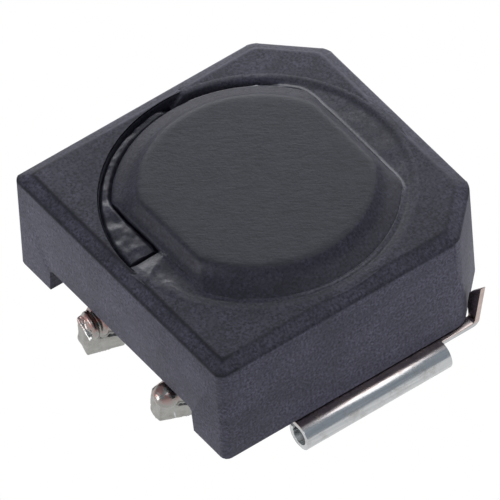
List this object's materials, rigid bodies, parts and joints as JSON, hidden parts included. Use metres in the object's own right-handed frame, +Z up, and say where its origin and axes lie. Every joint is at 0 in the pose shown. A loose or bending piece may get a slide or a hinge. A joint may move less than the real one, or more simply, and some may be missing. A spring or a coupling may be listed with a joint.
{
  "type": "shielded power inductor",
  "caption": "Square shielded surface-mount power inductor: a wound ferrite drum in a bevelled ferrite ring, standing on sheet terminals with long rolled solder bars.",
  "frame": {"origin": "centre of the part on the seating plane under the rolled terminal bars", "axes": "+Z up, away from the circuit board; +X from the left rolled bar to the right rolled bar; -Y towards the side with the wide wire notch and the soldered ears, +Y towards the two cut corners"},
  "size_m": [0.0134, 0.0124, 0.0061],
  "materials": {
    "ring_ferrite": "sintered ferrite, ground, matt",
    "core_ferrite": "sintered ferrite, ground, matt",
    "enamelled_copper": "enamelled copper wire, glossy",
    "tinned_sheet": "tin-plated copper alloy, bright",
    "solder": "tin solder, bright, slightly rough",
    "gap_epoxy": "cured epoxy, dark grey, satin to gloss"
  },
  "bodies": {
    "root": {"shield_ring": "ring_ferrite", "drum_core": "core_ferrite", "winding": "enamelled_copper", "terminal_right": "tinned_sheet", "terminal_left": "tinned_sheet", "solder_right": "solder", "solder_left": "solder", "adhesive_long_bead": "gap_epoxy", "adhesive_short_bead": "gap_epoxy", "terminal_bond_right": "gap_epoxy", "terminal_bond_left": "gap_epoxy"}
  },
  "joints": []
}
